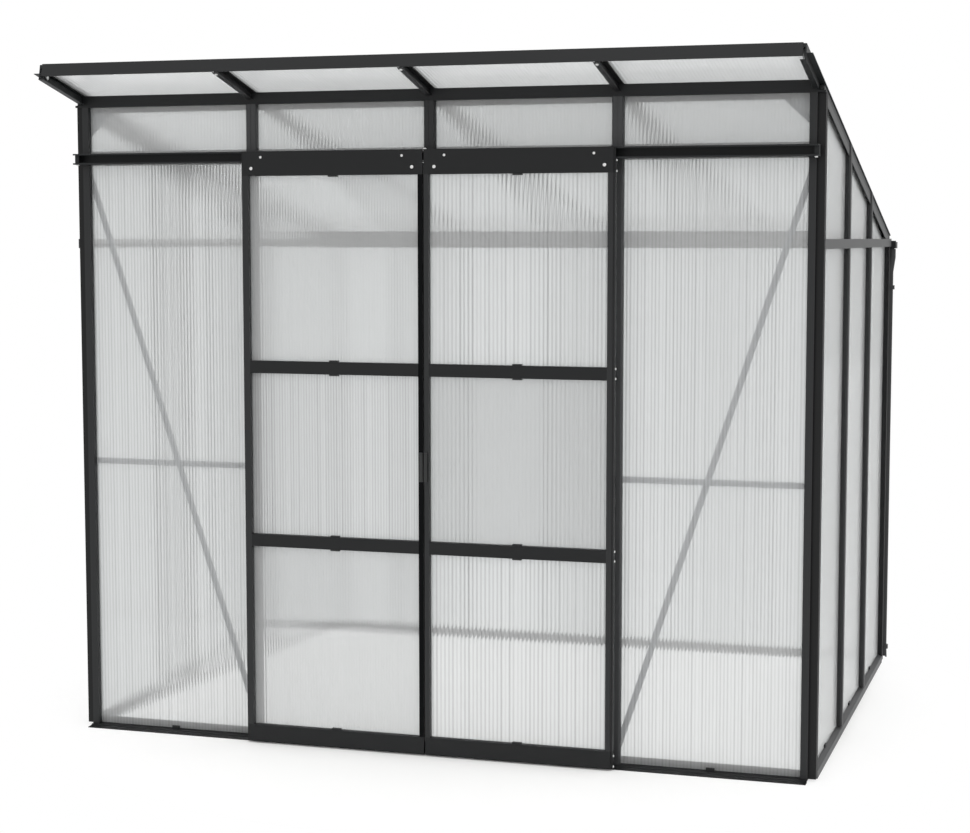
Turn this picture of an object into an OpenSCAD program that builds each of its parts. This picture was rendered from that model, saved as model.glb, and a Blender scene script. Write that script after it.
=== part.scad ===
// Lean-roofed greenhouse: glazing bars, sheet panes and a pair of sliding doors under a roof overhang.
// Millimetres, +Z up. The origin lies on the ground under the middle of the whole outline.

/* [Overall] */
// Distance between the centre lines of neighbouring glazing bars
bay = 622; // [480:1:760]
// Bays along each side wall
side_bays = 3; // [2:1:5]
// Height of the underside of the front top rail
head_z = 2131; // [1900:1:2500]
// Slope of the roof, falling to the back
roof_pitch = 13.45; // [8:0.05:15]
// How far the roof reaches out in front of the front wall
overhang = 270; // [120:1:400]
// How far the roof sheets run past the back wall
eaves_reach = 18; // [10:1:40]

/* [Glazing bars] */
// Width of a bar's outer nose
bar_w = 38; // [30:1:50]
// Depth of every wall member from its nose to its foot
frame_d = 48; // [42:1:60]
// How far the nose stands out from the sheet
nose_d = 18; // [14:1:20]
// How much narrower the nose is on each side at its front
nose_taper = 4; // [2:1:6]
// How far that narrowing runs back
nose_bevel = 6; // [3:1:8]
// Width of the groove down the middle of the nose
nose_line_w = 3; // [2:0.5:5]
// Depth of that groove
nose_line_d = 1; // [0.5:0.1:1.4]
// Thickness of the web between the two sheets that meet in a bar
web_t = 5; // [4:0.5:7]
// Thickness of seats and feet
flange_t = 2; // [1.6:0.1:3]
// Thickness of the stem behind the seat
stem_t = 3; // [2:0.5:4]
// Width of the foot at the end of the stem
foot_w = 18; // [12:1:24]
// Wall left around the hollow in the nose
nose_wall = 2; // [1.5:0.1:3]
// Side of the square corner posts
post_w = 48; // [44:1:60]
// How far the outer quarter of a corner post is set back
post_step = 12; // [6:1:16]

/* [Sheets] */
// Thickness of the twin-wall sheets
pane_t = 6; // [4:1:8]
// Play between the front of a sheet and the lip that holds it
glaze_gap = 0.5; // [0.3:0.1:1]
// Gap from a bar's centre line to the edge of its sheet
edge_gap = 6; // [5:0.5:8]
// Play at the top and bottom edges of a sheet
end_gap = 2; // [1:0.5:4]
// Play between sloping pieces that lie face to face
face_gap = 0.02; // [0.01:0.01:0.1]

/* [Base rails] */
// Height of the web that the walls stand on
base_z = 7; // [5:1:12]
// Thickness of the base rail's metal
base_t = 3; // [2:0.5:4]
// Height of the upstand behind the sheets
upstand_z = 31; // [24:1:45]
// How far the front rail's lip reaches out under the doors
lip_out = 38; // [30:1:40]
// Width of the flat foot of that lip
lip_foot = 30; // [20:1:30]
// Thickness of the lip at its edge
lip_edge = 2.5; // [2:0.5:4]
// How far the front base rail's ends stop short of the wall's outer faces
lip_short = 25; // [10:1:40]
// Height of the outer face of the side sills
sill_z = 24; // [18:1:30]

/* [Rails] */
// Height of the front top rail
rail_h = 38; // [30:1:50]
// Depth that a sheet goes into a rail
rail_hold = 9; // [6:1:12]
// How far a rail's seat shows past its nose
rail_seat = 18; // [10:1:25]
// Height of the eaves rail at its outer face
eaves_h = 56; // [46:1:70]
// How far the eaves rail's seat shows past its nose
eaves_seat = 4; // [3:1:20]
// How far the eaves rail reaches in from the outer face
eaves_in = 30; // [28:1:44]
// Height of the sloping rail at the top of each side wall
side_head_h = 26; // [20:1:40]
// Height of the flat rail outside each side wall
side_rail_h = 31; // [24:1:40]
// Thickness of that flat rail
side_rail_t = 4; // [3:0.5:6]
// Thickness of the shelf between two sheets
shelf_t = 3; // [2:0.5:4]
// Gap between the shelf over the doors and the bars at its ends
shelf_gap = 12; // [5:1:20]
// Height of the side shelves above the underside of the flat side rails
side_shelf_rise = 10; // [5:1:20]
// Height of the plate behind the sheets over the doors
transom_h = 48; // [36:1:60]

/* [Roof edge] */
// Thickness of the front board
fascia_t = 3; // [2:0.5:5]
// Width of the front board's top return
fascia_lap = 20; // [10:1:30]
// Height of the front board's lower edge below the sheets
fascia_drop = 21; // [10:1:26]
// How far the noses of the roof bars stand out above the sheets
roof_nose_d = 12; // [10:0.5:18]
// How far the front board's ends stop short of the edge bars' centre lines
fascia_short = 6; // [2:1:15]
// Depth of the edge bar below the sheets
barge_drop = 32; // [28:1:40]
// Depth of the edge bar's outer flange below the sheets
barge_ledge = 13; // [8:1:20]
// How far the outer flange reaches from the bar's centre line
barge_out = 23; // [19:0.5:23.5]
// Distance from the bar's centre line to its outer web
barge_web = 4; // [3.5:0.5:8]
// How far the edge bar's seat reaches in from the bar's centre line
barge_seat = 10; // [8:0.5:19]
// How far the lip along the edge bar's lower edge reaches in from there
barge_lip = 14; // [8:1:18]
// How far the side walls' sloping tops lie behind the outer faces of the bars
head_recess = 5; // [3:0.5:6]

/* [Gutter] */
// Width of the gutter
gutter_w = 60; // [45:1:80]
// Height of the gutter's back
gutter_h = 30; // [25:1:56]
// Height of the gutter's front lip
gutter_lip = 25; // [20:1:29]
// How far the gutter runs past each side wall
gutter_past = 20; // [10:1:40]
// Outer radius of the outlets
outlet_r = 12; // [9:1:14]
// Length of the outlets
outlet_l = 22; // [15:1:30]

/* [Downpipes] */
// Outer radius of a downpipe
pipe_r = 15; // [13:1:18]
// Thickness of its wall
pipe_t = 2; // [1.5:0.5:3]
// Distance from a downpipe's middle to the outer face of the side wall
pipe_in = 5; // [2:1:15]
// Distance from a downpipe's middle to the back wall
pipe_back = 20; // [19:1:24]
// Radius of the socket under the gutter's outlet
socket_r = 17; // [16.5:0.5:20]
// Height of that socket
socket_h = 34; // [28:1:50]
// Gap between the gutter and the socket
socket_gap = 2; // [1:0.5:5]
// Height of the bend under the socket
neck_h = 55; // [40:1:100]
// Height of the top of the shoe at the foot of a downpipe
shoe_z = 52; // [45:1:80]
// How far the shoe reaches back
shoe_out = 18; // [8:1:22]
// Gap between the shoe and the ground
shoe_gap = 6; // [4:1:20]
// Height of a pipe clip
clip_h = 16; // [10:1:24]
// How far a pipe clip stands out around the pipe
clip_t = 6; // [3:1:8]
// Height of the middle of the upper clip below the gutter
clip_drop = 154; // [130:5:400]

/* [Door track] */
// Height of the front wall between the underside of the track and the top rail
track_drop = 193; // [150:1:600]
// Height of the track
track_h = 36; // [34:1:44]
// How far the track stands out from the bars
track_d = 48; // [46:1:56]
// Thickness of the track's metal
track_t = 3; // [2.5:0.5:4]
// Height of the lips at the track's open front
track_lip = 5; // [4:1:7]
// How far each end of the track stops short of the wall's outer face
track_short = 13; // [5:1:40]
// Width of the rib that the rollers run on
rib_w = 4; // [3:0.5:5]
// Height of that rib
rib_h = 4; // [3:0.5:5]
// Distance of the rib from the bars
rib_back = 26; // [24:1:30]
// Length of the stop inside each end of the track
stop_l = 14; // [8:1:24]
// How far that stop lies behind the front of the track
stop_in = 15; // [5:1:20]

/* [Doors] */
// How far each closed door laps past the middle of its jamb
door_lap = 9; // [5:1:14]
// Gap between the two closed doors
door_gap = 5; // [5:0.5:10]
// Gap between the lip of the front base rail and the doors
door_foot_gap = 5.5; // [5.5:0.5:12]
// Gap between the face of the track and the board that hides it
hood_gap = 7; // [5:0.5:10]
// Thickness of that board
hood_t = 5; // [4:0.5:7]
// Height of that board
hood_h = 80; // [70:1:90]
// Thickness of a door
door_t = 25; // [24:1:28]
// Width of the stile on the jamb side
outer_stile_w = 24; // [20:1:34]
// Width of the stile where the doors meet
meeting_stile_w = 15.5; // [13:0.5:26]
// Height of a middle rail
mid_rail_h = 41; // [34:1:50]
// Height of the bottom rail
foot_rail_h = 56; // [44:1:70]
// Height of the top of the lower middle rail
low_rail_top = 710; // [560:1:800]
// Height of the top of the upper middle rail
high_rail_top = 1288; // [1100:1:1500]
// Depth of the sheet groove in the door's members
groove_d = 10; // [8:1:12]
// Thickness of the lip in front of that groove
groove_lip = 15.5; // [6:0.5:16]
// Width of the step along a door's outer edge
edge_step_w = 6; // [3:1:10]
// Depth of that step
edge_step_d = 4; // [2:0.5:5]
// Play between a sheet's edge and the bottom of its groove
groove_play = 2; // [1:0.5:3]
// How far the rollers sit from the door's edges
roller_in = 69; // [40:1:120]
// Radius of a roller where it runs on the rib
tread_r = 9; // [8:0.5:10]
// Height of a roller's rims over its tread
rim_h = 3; // [2:0.5:3.5]
// Width of one rim
rim_w = 2.5; // [2:0.5:3]
// Play between a roller and the rib, under it and at each side
roller_play = 0.4; // [0.3:0.1:0.8]
// Radius of a roller's axle
axle_r = 3; // [2.5:0.5:4]
// Length of a door handle
handle_h = 95; // [70:1:160]
// Height of the middle of a door handle
handle_z = 953; // [800:1:1150]
// Width of a door handle
handle_w = 11; // [8:1:16]
// How far a door handle stands out
handle_t = 6; // [4:0.5:12]

/* [Bracing] */
// Width of a diagonal brace, measured level
brace_w = 21; // [15:1:30]
// Thickness of a brace
brace_t = 3; // [2:0.5:4]
// Height of the middle of a level brace
mid_brace_z = 927; // [700:1:1200]
// Height of a level brace
mid_brace_h = 20; // [15:1:30]
// Width of a corner gusset
gusset_w = 102; // [60:1:140]
// Height of a corner gusset
gusset_h = 95; // [60:1:140]
// Thickness of a corner gusset
gusset_t = 2; // [1.5:0.5:3]
// Width of a gusset's short ends
gusset_end = 20; // [10:1:30]

/* [Hidden] */
$fn = 48;

frame_colour = "#3a3d3f";
pane_colour = "#d3d8d8";
bolt_colour = "#9aa0a2";

front_bays = 4;
// A cut runs this far past the piece that it shortens
past = 10;
far = 9000;

post_line = post_w / 2;
half_w = bay * front_bays / 2 + post_line;
depth = bay * side_bays + post_w;
edge_x = half_w - post_line;
seat_d = nose_d + pane_t;
seat_back = seat_d + flange_t;
lip_d = nose_d - glaze_gap;
slope = tan(roof_pitch);
upright = 1 / cos(roof_pitch);

// Height of the underside of the roof sheets over a point y behind the front wall
roof_z0 = head_z + rail_h + flange_t * upright;
function roof_z(y) = roof_z0 - slope * y;
function front_x(i) = (i - front_bays / 2) * bay;
function side_y(i) = post_line + i * bay;

eaves_z = roof_z(depth) - flange_t * upright - eaves_h;
side_rail_z = eaves_z + flange_t;
side_shelf_z = side_rail_z + side_shelf_rise;
head_top = barge_drop * upright;
head_low = head_top + side_head_h;
s_front = -overhang / cos(roof_pitch);
s_back = (depth + eaves_reach) / cos(roof_pitch);
nose_top = roof_nose_d + pane_t;
fascia_h = fascia_drop + nose_top + face_gap + flange_t;
barge_box = post_line - head_recess;
// The flange and the box of an edge bar, seen square to the roof, start this far below its sheets
bar_cap = (barge_ledge + face_gap) * upright;

front_reach = track_d + hood_gap + hood_t + handle_t;
roof_reach = overhang + fascia_t * cos(roof_pitch) + fascia_drop * sin(roof_pitch);
back_reach = depth + max(gutter_w, eaves_reach + nose_top * sin(roof_pitch));
y_off = (max(front_reach, roof_reach) - back_reach) / 2;

track_z = head_z - track_drop;
door_y = -(track_d + hood_gap + hood_t);
door_back = door_y + door_t;
door_w = bay + door_lap - door_gap / 2;
door_z = lip_edge + door_foot_gap;
door_top = track_z + track_h;
hood_z = door_top - hood_h;
groove_y = door_y + groove_lip;
door_pane_y = groove_y + glaze_gap;
axle_z = track_z + track_t + rib_h + roller_play + tread_r;

gutter_z = eaves_z - base_t - flange_t;
pipe_x = half_w - pipe_in;
outlet_x = half_w + gutter_past - base_t - socket_r;

// ---------- placing ----------

module at_frame() {
  translate([0, y_off, 0]) children();
}

// The frame colour on every metal piece
module metal() {
  color(frame_colour) at_frame() children();
}

module sheet() {
  color(pane_colour) at_frame() children();
}

// Outline in y and z, pushed out along x
module yz(x, t) {
  translate([x, 0, 0]) rotate([90, 0, 90]) linear_extrude(t) children();
}

// Outline in x and z, pushed out towards the back
module xz(y, t) {
  translate([0, y + t, 0]) rotate([90, 0, 0]) linear_extrude(t) children();
}

// Outline of the left side drawn for the right side too
module sides(right) {
  mirror([right ? 0 : 1, 0, 0]) children();
}

// Frame whose x and y lie in the underside of the roof sheets
module on_roof() {
  translate([0, 0, roof_z0]) rotate([-roof_pitch, 0, 0]) children();
}

// Outline across the roof, pushed out down the slope
module down_slope(s, l) {
  translate([0, s + l, 0]) rotate([90, 0, 0]) linear_extrude(l) children();
}

// Everything above a line that runs down the side wall below the roof sheets
module above_roof_line(drop) {
  yz(-half_w - past, 2 * (half_w + past)) polygon([
    [-far, roof_z(-far) - drop],
    [far, roof_z(far) - drop],
    [far, far],
    [-far, far]
  ]);
}

// The space that the edge bars take at the top of each corner
module edge_bar_space() {
  on_roof() for (side = [-1, 1])
    translate([side > 0 ? edge_x : -far, -far, -barge_drop - face_gap]) cube([far - edge_x, 2 * far, far]);
}

// ---------- profiles ----------

// Outer nose of a glazing bar and its web, d deep: x across, y inwards from the nose
module nose_profile(d) {
  half = bar_w / 2;
  hollow_y = nose_wall + nose_line_d;
  lip = d - glaze_gap;
  bevel = nose_bevel * d / nose_d;
  difference() {
    polygon([
      [-half + nose_taper, 0],
      [-nose_line_w / 2, 0],
      [-nose_line_w / 2, nose_line_d],
      [nose_line_w / 2, nose_line_d],
      [nose_line_w / 2, 0],
      [half - nose_taper, 0],
      [half, bevel],
      [half, lip],
      [web_t / 2, lip],
      [web_t / 2, d + pane_t],
      [-web_t / 2, d + pane_t],
      [-web_t / 2, lip],
      [-half, lip],
      [-half, bevel]
    ]);
    polygon([
      [-half + nose_taper + nose_wall, hollow_y],
      [half - nose_taper - nose_wall, hollow_y],
      [half - nose_wall, hollow_y + bevel],
      [half - nose_wall, lip - nose_wall],
      [-half + nose_wall, lip - nose_wall],
      [-half + nose_wall, hollow_y + bevel]
    ]);
  }
}

// Web, seat, stem and foot of a glazing bar
module stem_profile() {
  half = bar_w / 2;
  polygon([
    [-half, seat_d],
    [-web_t / 2, seat_d],
    [-web_t / 2, lip_d],
    [web_t / 2, lip_d],
    [web_t / 2, seat_d],
    [half, seat_d],
    [half, seat_back],
    [stem_t / 2, seat_back],
    [stem_t / 2, frame_d - flange_t],
    [foot_w / 2, frame_d - flange_t],
    [foot_w / 2, frame_d],
    [-foot_w / 2, frame_d],
    [-foot_w / 2, frame_d - flange_t],
    [-stem_t / 2, frame_d - flange_t],
    [-stem_t / 2, seat_back],
    [-half, seat_back]
  ]);
}

// Corner post: both coordinates run inwards from the outer corner
module post_profile() {
  floor_d = post_line + nose_taper;
  difference() {
    polygon([
      [post_w, 0],
      [post_line, 0],
      [post_line, post_step],
      [0, post_step],
      [0, post_w],
      [lip_d, post_w],
      [lip_d, floor_d],
      [seat_d, floor_d],
      [seat_d, post_w],
      [seat_back, post_w],
      [seat_back, seat_back],
      [post_w, seat_back],
      [post_w, seat_d],
      [floor_d, seat_d],
      [floor_d, lip_d],
      [post_w, lip_d]
    ]);
    translate([nose_wall, post_step + nose_wall])
      square([lip_d - 2 * nose_wall, post_w - post_step - 2 * nose_wall]);
    translate([post_line + nose_wall, nose_wall])
      square([post_w - post_line - 2 * nose_wall, lip_d - 2 * nose_wall]);
  }
}

// Upright bar: its seat and stem stop short of the rails by foot_cut and head_cut
module upright_bar(z, h, foot_cut, head_cut) {
  translate([0, 0, z]) linear_extrude(h) nose_profile(nose_d);
  translate([0, 0, z + foot_cut]) linear_extrude(h - foot_cut - head_cut) stem_profile();
}

// Puts a bar's profile on one of the walls
module on_front(x) {
  translate([x, 0, 0]) children();
}

module on_back(x) {
  translate([x, depth, 0]) rotate([0, 0, 180]) children();
}

module on_side(y) {
  translate([half_w, y, 0]) rotate([0, 0, 90]) children();
}

upstand_cut = upstand_z - base_z + end_gap;
seat_cut = rail_seat + end_gap;
eaves_cut = eaves_seat + end_gap;

// ---------- base rails ----------

// Seat channel common to all base rails: x inwards from the nose, y up
module base_channel(front_edge) {
  polygon([
    [front_edge, base_z],
    [front_edge, 0],
    [front_edge + base_t, 0],
    [front_edge + base_t, base_z - base_t],
    [frame_d - base_t, base_z - base_t],
    [frame_d - base_t, 0],
    [frame_d, 0],
    [frame_d, base_z],
    [seat_d + base_t, base_z],
    [seat_d + base_t, upstand_z],
    [seat_d, upstand_z],
    [seat_d, base_z]
  ]);
}

// Drip lip in front of the doorway, with a hollow curve on top
module lip_profile() {
  rise = base_z - lip_edge;
  start = -lip_out + lip_foot - base_t;
  polygon(concat(
    [[-lip_out, 0], [-lip_out, lip_edge]],
    [for (a = [0:15:90]) [-lip_out + (start + lip_out) * sin(a), lip_edge + rise * (1 - cos(a))]],
    [[start + base_t, base_z], [start + base_t, 0]]
  ));
}

module base_front() {
  length = 2 * (half_w - lip_short);
  metal() yz(-length / 2, length) {
    base_channel(-lip_out + lip_foot - base_t);
    lip_profile();
  }
}

module base_back() {
  length = 2 * (half_w - lip_short);
  metal() translate([0, depth, 0]) rotate([0, 0, 180]) yz(-length / 2, length)
    base_channel(0);
}

// Side sill: x inwards from the wall's outer face, y up
module sill_profile() {
  polygon([
    [0, 0],
    [0, sill_z],
    [lip_d - nose_wall, upstand_z],
    [lip_d, upstand_z],
    [lip_d, base_z + base_t],
    [seat_d, base_z + base_t],
    [seat_d, upstand_z],
    [seat_d + base_t, upstand_z],
    [seat_d + base_t, base_z + base_t],
    [frame_d, base_z + base_t],
    [frame_d, 0],
    [frame_d - base_t, 0],
    [frame_d - base_t, base_z],
    [base_t, base_z],
    [base_t, 0]
  ]);
}

// Where the base rails are deeper than the posts, the sills are coped round their ends
module base_sides() {
  length = depth - 2 * post_w;
  rail_end = half_w - lip_short;
  metal() difference() {
    for (side = [0, 1]) sides(side == 1)
      translate([half_w, post_w + length, 0]) rotate([90, 0, 0])
        mirror([1, 0, 0]) linear_extrude(length) sill_profile();
    if (frame_d > post_w) for (y = [frame_d - far, depth - frame_d])
      translate([-rail_end, y, base_z - far]) cube([2 * rail_end, far, far]);
  }
}

// ---------- posts and bars ----------

module post(right, back) {
  top = back ? eaves_z : head_z;
  cut = back ? eaves_cut : seat_cut;
  rail_y = back ? depth : 0;
  metal() difference() {
    sides(right) translate([0, rail_y, 0]) mirror([0, back ? 1 : 0, 0]) translate([half_w, 0, base_z])
      difference() {
        linear_extrude(top - base_z) mirror([1, 0]) post_profile();
        // Room for the base rail's upstand and for the seat of the rail above
        translate([-post_w - past, seat_d - glaze_gap, -past])
          cube([post_w + past - lip_short + end_gap, post_w, upstand_cut + past]);
        translate([-post_w - past, seat_d - glaze_gap, top - base_z - cut])
          cube([post_w + past - seat_back, post_w, cut + past]);
      }
    edge_bar_space();
  }
}

module door_jambs() {
  metal() for (x = [-bay, bay])
    on_front(x) upright_bar(base_z, head_z - base_z, upstand_cut, seat_cut);
}

module transom_bar() {
  z = track_z + track_h;
  metal() on_front(0) upright_bar(z, head_z - z, 0, seat_cut);
}

// The noses of the side bars lap over the edge bar and end under its flange
module side_bars(right) {
  metal() difference() {
    sides(right) for (i = [1:side_bays - 1])
      on_side(side_y(i)) upright_bar(upstand_z, head_z, 0, 0);
    above_roof_line(bar_cap);
    intersection() {
      above_roof_line(head_top + face_gap);
      translate([-far, -far, 0]) cube([2 * far, 2 * far, far]);
      translate([-half_w + head_recess - face_gap, -far, 0])
        cube([2 * (half_w - head_recess + face_gap), 2 * far, far]);
    }
  }
}

module back_bars() {
  metal() for (i = [1:front_bays - 1])
    on_back(front_x(i)) upright_bar(base_z, eaves_z - base_z, upstand_cut, eaves_cut);
}

// ---------- rails ----------

// Rail over a wall: x inwards from the nose, y up from the rail's underside. Its top follows the roof.
module head_rail_profile(h, fall, seat, inner) {
  difference() {
    polygon([
      [0, 0],
      [0, h],
      [inner, h - fall * inner],
      [inner, h - fall * inner - base_t],
      [seat_back, h - fall * seat_back - base_t],
      [seat_back, -seat],
      [seat_d, -seat],
      [seat_d, rail_hold],
      [lip_d, rail_hold],
      [lip_d, 0]
    ]);
    translate([nose_wall, nose_wall])
      square([lip_d - 2 * nose_wall, rail_hold]);
  }
}

module top_rail() {
  metal() difference() {
    translate([0, 0, head_z]) yz(-half_w, 2 * half_w)
      head_rail_profile(rail_h - face_gap, slope, rail_seat, frame_d);
    edge_bar_space();
    // The seat stops at the posts and passes through the bars' cut-outs
    for (side = [-1, 1])
      translate([side * (half_w - post_w / 2), seat_d, head_z - rail_seat])
        translate([-post_w / 2, -glaze_gap, -past]) cube([post_w, post_w, rail_seat + past]);
  }
}

module eaves_rail() {
  metal() difference() {
    translate([0, depth, eaves_z]) rotate([0, 0, 180]) yz(-half_w, 2 * half_w)
      head_rail_profile(eaves_h - face_gap, -slope, eaves_seat, eaves_in);
    edge_bar_space();
    for (side = [-1, 1])
      translate([side * (half_w - post_w / 2), depth - seat_d, eaves_z - eaves_seat])
        translate([-post_w / 2, glaze_gap - post_w, -past]) cube([post_w, post_w, eaves_seat + past]);
  }
}

// One length of the rail over the doors for each bay, between the stems of its bars
module transom_rail() {
  z = track_z - end_gap;
  shelf_z = track_z + track_h / 2;
  metal() for (i = [0:front_bays - 1]) {
    left = i == 0 ? -half_w + seat_back : front_x(i) + stem_t / 2;
    right = i == front_bays - 1 ? half_w - seat_back : front_x(i + 1) - stem_t / 2;
    translate([left, seat_back, z]) cube([right - left, flange_t, transom_h]);
    translate([left, seat_back, z]) cube([right - left, frame_d - flange_t - seat_back, base_t]);
    shelf_l = front_x(i) + bar_w / 2 + shelf_gap;
    shelf_r = front_x(i + 1) - bar_w / 2 - shelf_gap;
    translate([shelf_l, lip_d, shelf_z]) cube([shelf_r - shelf_l, seat_back - lip_d + flange_t, shelf_t]);
  }
}

// Band of the side wall from y0 to y1 between two drops under the roof line, d behind the outer face
module slope_band(y0, y1, top, low, d, t) {
  yz(half_w - d - t, t) polygon([
    [y0, roof_z(y0) - low],
    [y1, roof_z(y1) - low],
    [y1, roof_z(y1) - top],
    [y0, roof_z(y0) - top]
  ]);
}

// One length of the sloping rail for each bay, between the noses of its bars. A fin closes it outside
// and a short lip holds the sheet.
module side_head(right) {
  top = head_top + face_gap;
  web_low = head_top + web_t;
  metal() sides(right) for (i = [0:side_bays - 1]) {
    y0 = i == 0 ? post_w : side_y(i) + bar_w / 2;
    y1 = i == side_bays - 1 ? depth - post_w : side_y(i + 1) - bar_w / 2;
    slope_band(y0, y1, top, web_low, head_recess, frame_d - head_recess);
    slope_band(y0, y1, top, head_low, head_recess, flange_t);
    slope_band(y0, y1, top, web_low + rail_hold, lip_d - flange_t, flange_t);
    slope_band(y0, y1, top, head_low, seat_d, flange_t);
  }
}

// Flat rail along the outside of the side wall, with a shelf between the sheets of each bay
module side_rail(right) {
  shelf_end = (roof_z0 - head_low - side_shelf_z - shelf_t) / slope - end_gap;
  metal() sides(right) {
    translate([half_w, post_step, side_rail_z])
      cube([side_rail_t, depth - 2 * post_step, side_rail_h]);
    for (i = [0:side_bays - 1]) {
      y0 = side_y(i) + (i == 0 ? post_line : bar_w / 2) + end_gap;
      y1 = min(side_y(i + 1) - bar_w / 2 - end_gap, shelf_end);
      translate([half_w - seat_back, y0, side_shelf_z])
        cube([seat_back + side_rail_t / 2, y1 - y0, shelf_t]);
    }
  }
}

// ---------- roof ----------

// Bar of the roof: x across, y up from the underside of the sheets
module roof_bar_profile() {
  mirror([0, 1]) translate([0, -nose_top]) nose_profile(roof_nose_d);
  mirror([0, 1]) translate([0, -seat_d]) stem_profile();
}

// Room under the seats of the roof bars, from y0 to y1
module under_seat_space(y0, y1) {
  drop = flange_t * upright + face_gap / 2;
  yz(-half_w - gutter_w, 2 * (half_w + gutter_w)) polygon([
    [y0, roof_z(y0) - drop],
    [y1, roof_z(y1) - drop],
    [y1, -far],
    [y0, -far]
  ]);
}

module roof_bars() {
  metal() difference() {
    on_roof() for (i = [1:front_bays - 1])
      translate([front_x(i), 0, 0]) down_slope(s_front + face_gap, s_back - s_front) roof_bar_profile();
    under_seat_space(-end_gap, frame_d + end_gap);
    under_seat_space(depth - frame_d - end_gap, far);
  }
}

// Edge bar: x outwards from the last sheet's bar line, y up from the underside of the sheets
module edge_bar_profile() {
  lip = pane_t + glaze_gap;
  polygon([
    [-bar_w / 2, lip],
    [-bar_w / 2, nose_top],
    [barge_web, nose_top],
    [barge_web, -barge_ledge + flange_t],
    [barge_out, -barge_ledge + flange_t],
    [barge_out, -barge_ledge],
    [barge_box, -barge_ledge],
    [barge_box, -barge_drop],
    [0, -barge_drop],
    [0, -flange_t],
    [-barge_seat, -flange_t],
    [-barge_seat, 0],
    [0, 0],
    [0, lip]
  ]);
}

// Under its flange the edge bar is a hollow box over the side wall, closed at the front end. Where it
// overhangs, only its web goes down, to a lip along the lower edge.
module edge_bar(right) {
  length = s_back - s_front;
  box_s = post_step * upright;
  metal() difference() {
    sides(right) on_roof() translate([edge_x, 0, 0]) {
      difference() {
        down_slope(s_front + face_gap, length) edge_bar_profile();
        down_slope(box_s + fascia_t, length) translate([flange_t, -barge_drop + flange_t])
          square([barge_box - 2 * flange_t, barge_drop - barge_ledge - flange_t]);
        down_slope(s_front - past, box_s - s_front + past) translate([barge_web, -barge_drop - past])
          square([barge_out, barge_drop - barge_ledge + past]);
      }
      down_slope(s_front + face_gap, -s_front - end_gap) translate([-barge_lip, -barge_drop])
        square([barge_lip + barge_web, flange_t]);
    }
    under_seat_space(depth, far);
  }
}

// Board across the front ends of the roof bars
module front_board() {
  length = 2 * (edge_x - fascia_short);
  metal() on_roof() translate([-length / 2, s_front - fascia_t, 0]) {
    translate([0, 0, -fascia_drop]) cube([length, fascia_t, fascia_h]);
    translate([0, 0, nose_top + face_gap]) cube([length, fascia_t + fascia_lap, flange_t]);
  }
}

// ---------- gutter ----------

// The middle of an outlet lies where its downpipe's neck ends, centred in the gutter
module at_outlets(z) {
  for (side = [-1, 1]) translate([side * outlet_x, depth + gutter_w / 2, z]) children();
}

module gutter() {
  length = 2 * (half_w + gutter_past);
  metal() difference() {
    union() {
      translate([0, depth, gutter_z]) {
        yz(-length / 2, length) polygon([
          [0, 0],
          [0, gutter_h],
          [base_t, gutter_h],
          [base_t, base_t],
          [gutter_w - base_t, base_t],
          [gutter_w - base_t, gutter_lip],
          [gutter_w, gutter_lip],
          [gutter_w, 0]
        ]);
        for (x = [-length / 2, length / 2 - base_t])
          translate([x, 0, 0]) cube([base_t, gutter_w, gutter_lip]);
      }
      at_outlets(gutter_z - outlet_l) cylinder(r = outlet_r, h = outlet_l + base_t / 2);
    }
    at_outlets(gutter_z - outlet_l - past) cylinder(r = outlet_r - pipe_t, h = outlet_l + base_t + 2 * past);
  }
}

// ---------- downpipes ----------

// Upright length of pipe from z0 to z1 at the foot of the bend, grown outwards by the amount g
module pipe_length(z0, z1, g) {
  translate([pipe_x, depth + pipe_back, z0]) cylinder(r = pipe_r + g, h = z1 - z0);
}

module socket_length(z0, z1, g) {
  translate([outlet_x, depth + gutter_w / 2, z0]) cylinder(r = socket_r + g, h = z1 - z0);
}

// Everything inside the pipe's outer skin, grown by g, with its open ends run out by e
module pipe_body(g, e) {
  socket_z = gutter_z - socket_gap - socket_h;
  neck_z = socket_z - neck_h;
  socket_length(socket_z, socket_z + socket_h + e, g);
  hull() {
    socket_length(socket_z, socket_z + pipe_t, g);
    pipe_length(neck_z - pipe_t, neck_z, g);
  }
  pipe_length(shoe_z, neck_z, g);
  hull() {
    pipe_length(shoe_z, shoe_z + pipe_t, g);
    translate([0, shoe_out, 0]) pipe_length(shoe_gap - e, shoe_gap + pipe_t, g);
  }
}

// Clip around the pipe with an arm to the back post
module pipe_clip(z) {
  translate([0, 0, z - clip_h / 2]) {
    pipe_length(0, clip_h, clip_t);
    translate([pipe_x - pipe_r, depth - post_step, 0]) cube([pipe_r, post_step + pipe_back, clip_h]);
  }
}

module downpipes() {
  metal() for (side = [0, 1]) sides(side == 1) difference() {
    union() {
      pipe_body(0, 0);
      pipe_clip(gutter_z - clip_drop);
      pipe_clip(shoe_z);
    }
    pipe_body(-pipe_t, past);
  }
}

// ---------- sheets ----------

pane_w = bay - 2 * edge_gap;

module front_panes() {
  z = base_z + end_gap;
  top = track_z + track_h / 2 - end_gap;
  sheet() for (i = [0, front_bays - 1])
    translate([front_x(i) + edge_gap, nose_d, z]) cube([pane_w, pane_t, top - z]);
}

module transom_panes() {
  z = track_z + track_h / 2 + shelf_t;
  top = head_z + rail_hold - end_gap;
  sheet() for (i = [0:front_bays - 1])
    translate([front_x(i) + edge_gap, nose_d, z]) cube([pane_w, pane_t, top - z]);
}

module back_panes() {
  z = base_z + end_gap;
  top = eaves_z + rail_hold - end_gap;
  sheet() for (i = [0:front_bays - 1])
    translate([front_x(i) + edge_gap, depth - nose_d - pane_t, z]) cube([pane_w, pane_t, top - z]);
}

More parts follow.
